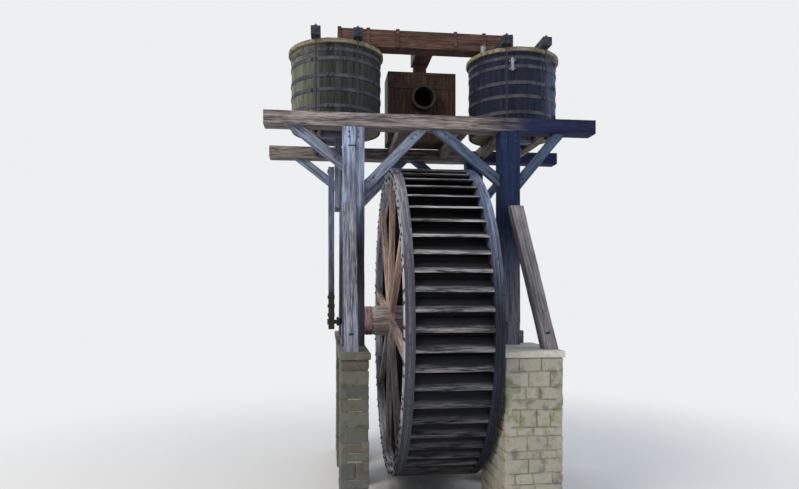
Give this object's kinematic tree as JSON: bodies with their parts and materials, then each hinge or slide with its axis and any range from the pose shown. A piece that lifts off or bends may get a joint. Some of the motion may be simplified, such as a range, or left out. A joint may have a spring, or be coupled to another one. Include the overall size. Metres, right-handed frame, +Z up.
{
  "type": "water wheel blowing engine",
  "caption": "Timber bucket water wheel on a cranked shaft, driving rods to upright air tubs on a braced trestle over masonry piers.",
  "frame": {"origin": "middle of the base, at the foot of the piers", "axes": "+Z up, +X along the wheel's axle to the right as seen from the front, -Y towards the front"},
  "size_m": [7.16, 6.7, 10.02],
  "materials": {
    "masonry": "coursed rubble",
    "pier_cap": "weathered pale cap",
    "grey_timber": "weathered",
    "dark_timber": "dark weathered",
    "beam_timber": "streaked weathered",
    "brace_timber": "slate blue weathered",
    "rim_pale": "whitened",
    "rim_dark": "grey to dark",
    "wet_timber": "wet dark",
    "brown_timber": "brown",
    "tub_green": "dark green staves",
    "tub_navy": "dark blue staves",
    "lid_timber": "pale boards",
    "duct_timber": "reddish boards",
    "rod_timber": "pale blue grey",
    "shaft_timber": "pale worn",
    "iron": "dark forged and cast",
    "hoop_iron": "grey hoops",
    "band_iron": "pink rusted bands"
  },
  "bodies": {
    "frame": {"pier_front_left": "masonry", "pier_front_right": "masonry", "pier_rear_left": "masonry", "pier_rear_right": "masonry", "piers_bearing": "masonry", "pier_caps": "pier_cap", "post_front_left": "grey_timber", "post_front_right": "dark_timber", "post_rear_left": "grey_timber", "post_rear_right": "dark_timber", "beam_front": "beam_timber", "beam_rear": "beam_timber", "braces_front": "brace_timber", "braces_rear": "brace_timber", "rakers_front": "grey_timber", "rakers_rear": "grey_timber", "floor_joists": "beam_timber", "guides": "grey_timber", "bearing_sills": "grey_timber", "bearings": "iron", "tub_left": "tub_green", "tub_right": "tub_navy", "tub_hoops": "hoop_iron", "tub_floors": "lid_timber", "tub_lids": "lid_timber", "lid_bars": "grey_timber", "tie_rods": "iron", "air_chest": "brown_timber", "air_chest_covers": "brown_timber", "air_duct": "duct_timber", "blast_outlet": "iron", "piston_left": "iron", "piston_right": "iron"},
    "wheel": {"shaft": "shaft_timber", "shaft_bands": "band_iron", "crank_left": "iron", "crank_right": "iron", "arms_left": "brown_timber", "arms_right": "brown_timber", "rim_left": "rim_pale", "rim_right": "rim_dark", "sole_boards": "brown_timber", "bucket_fronts": "wet_timber", "bucket_floors": "wet_timber"},
    "rod_left": {"connecting_rod_left": "rod_timber", "rod_straps_left": "iron"},
    "rod_right": {"connecting_rod_right": "rod_timber", "rod_straps_right": "iron"}
  },
  "joints": [
    {"name": "wheel_spin", "type": "hinge", "parent": "frame", "child": "wheel", "pos_m": [0, 0, 3.6], "axis": [1, 0, 0], "continuous": true},
    {"name": "rod_left_turn", "type": "hinge", "parent": "wheel", "child": "rod_left", "pos_m": [-2.11, -0.45, 3.6], "axis": [1, 0, 0], "continuous": true},
    {"name": "rod_right_turn", "type": "hinge", "parent": "wheel", "child": "rod_right", "pos_m": [2.11, 0.45, 3.6], "axis": [1, 0, 0], "continuous": true}
  ],
  "couplings": [
    {"joint": "rod_left_turn", "follows": "wheel_spin", "ratio": -1},
    {"joint": "rod_right_turn", "follows": "wheel_spin", "ratio": -1}
  ]
}
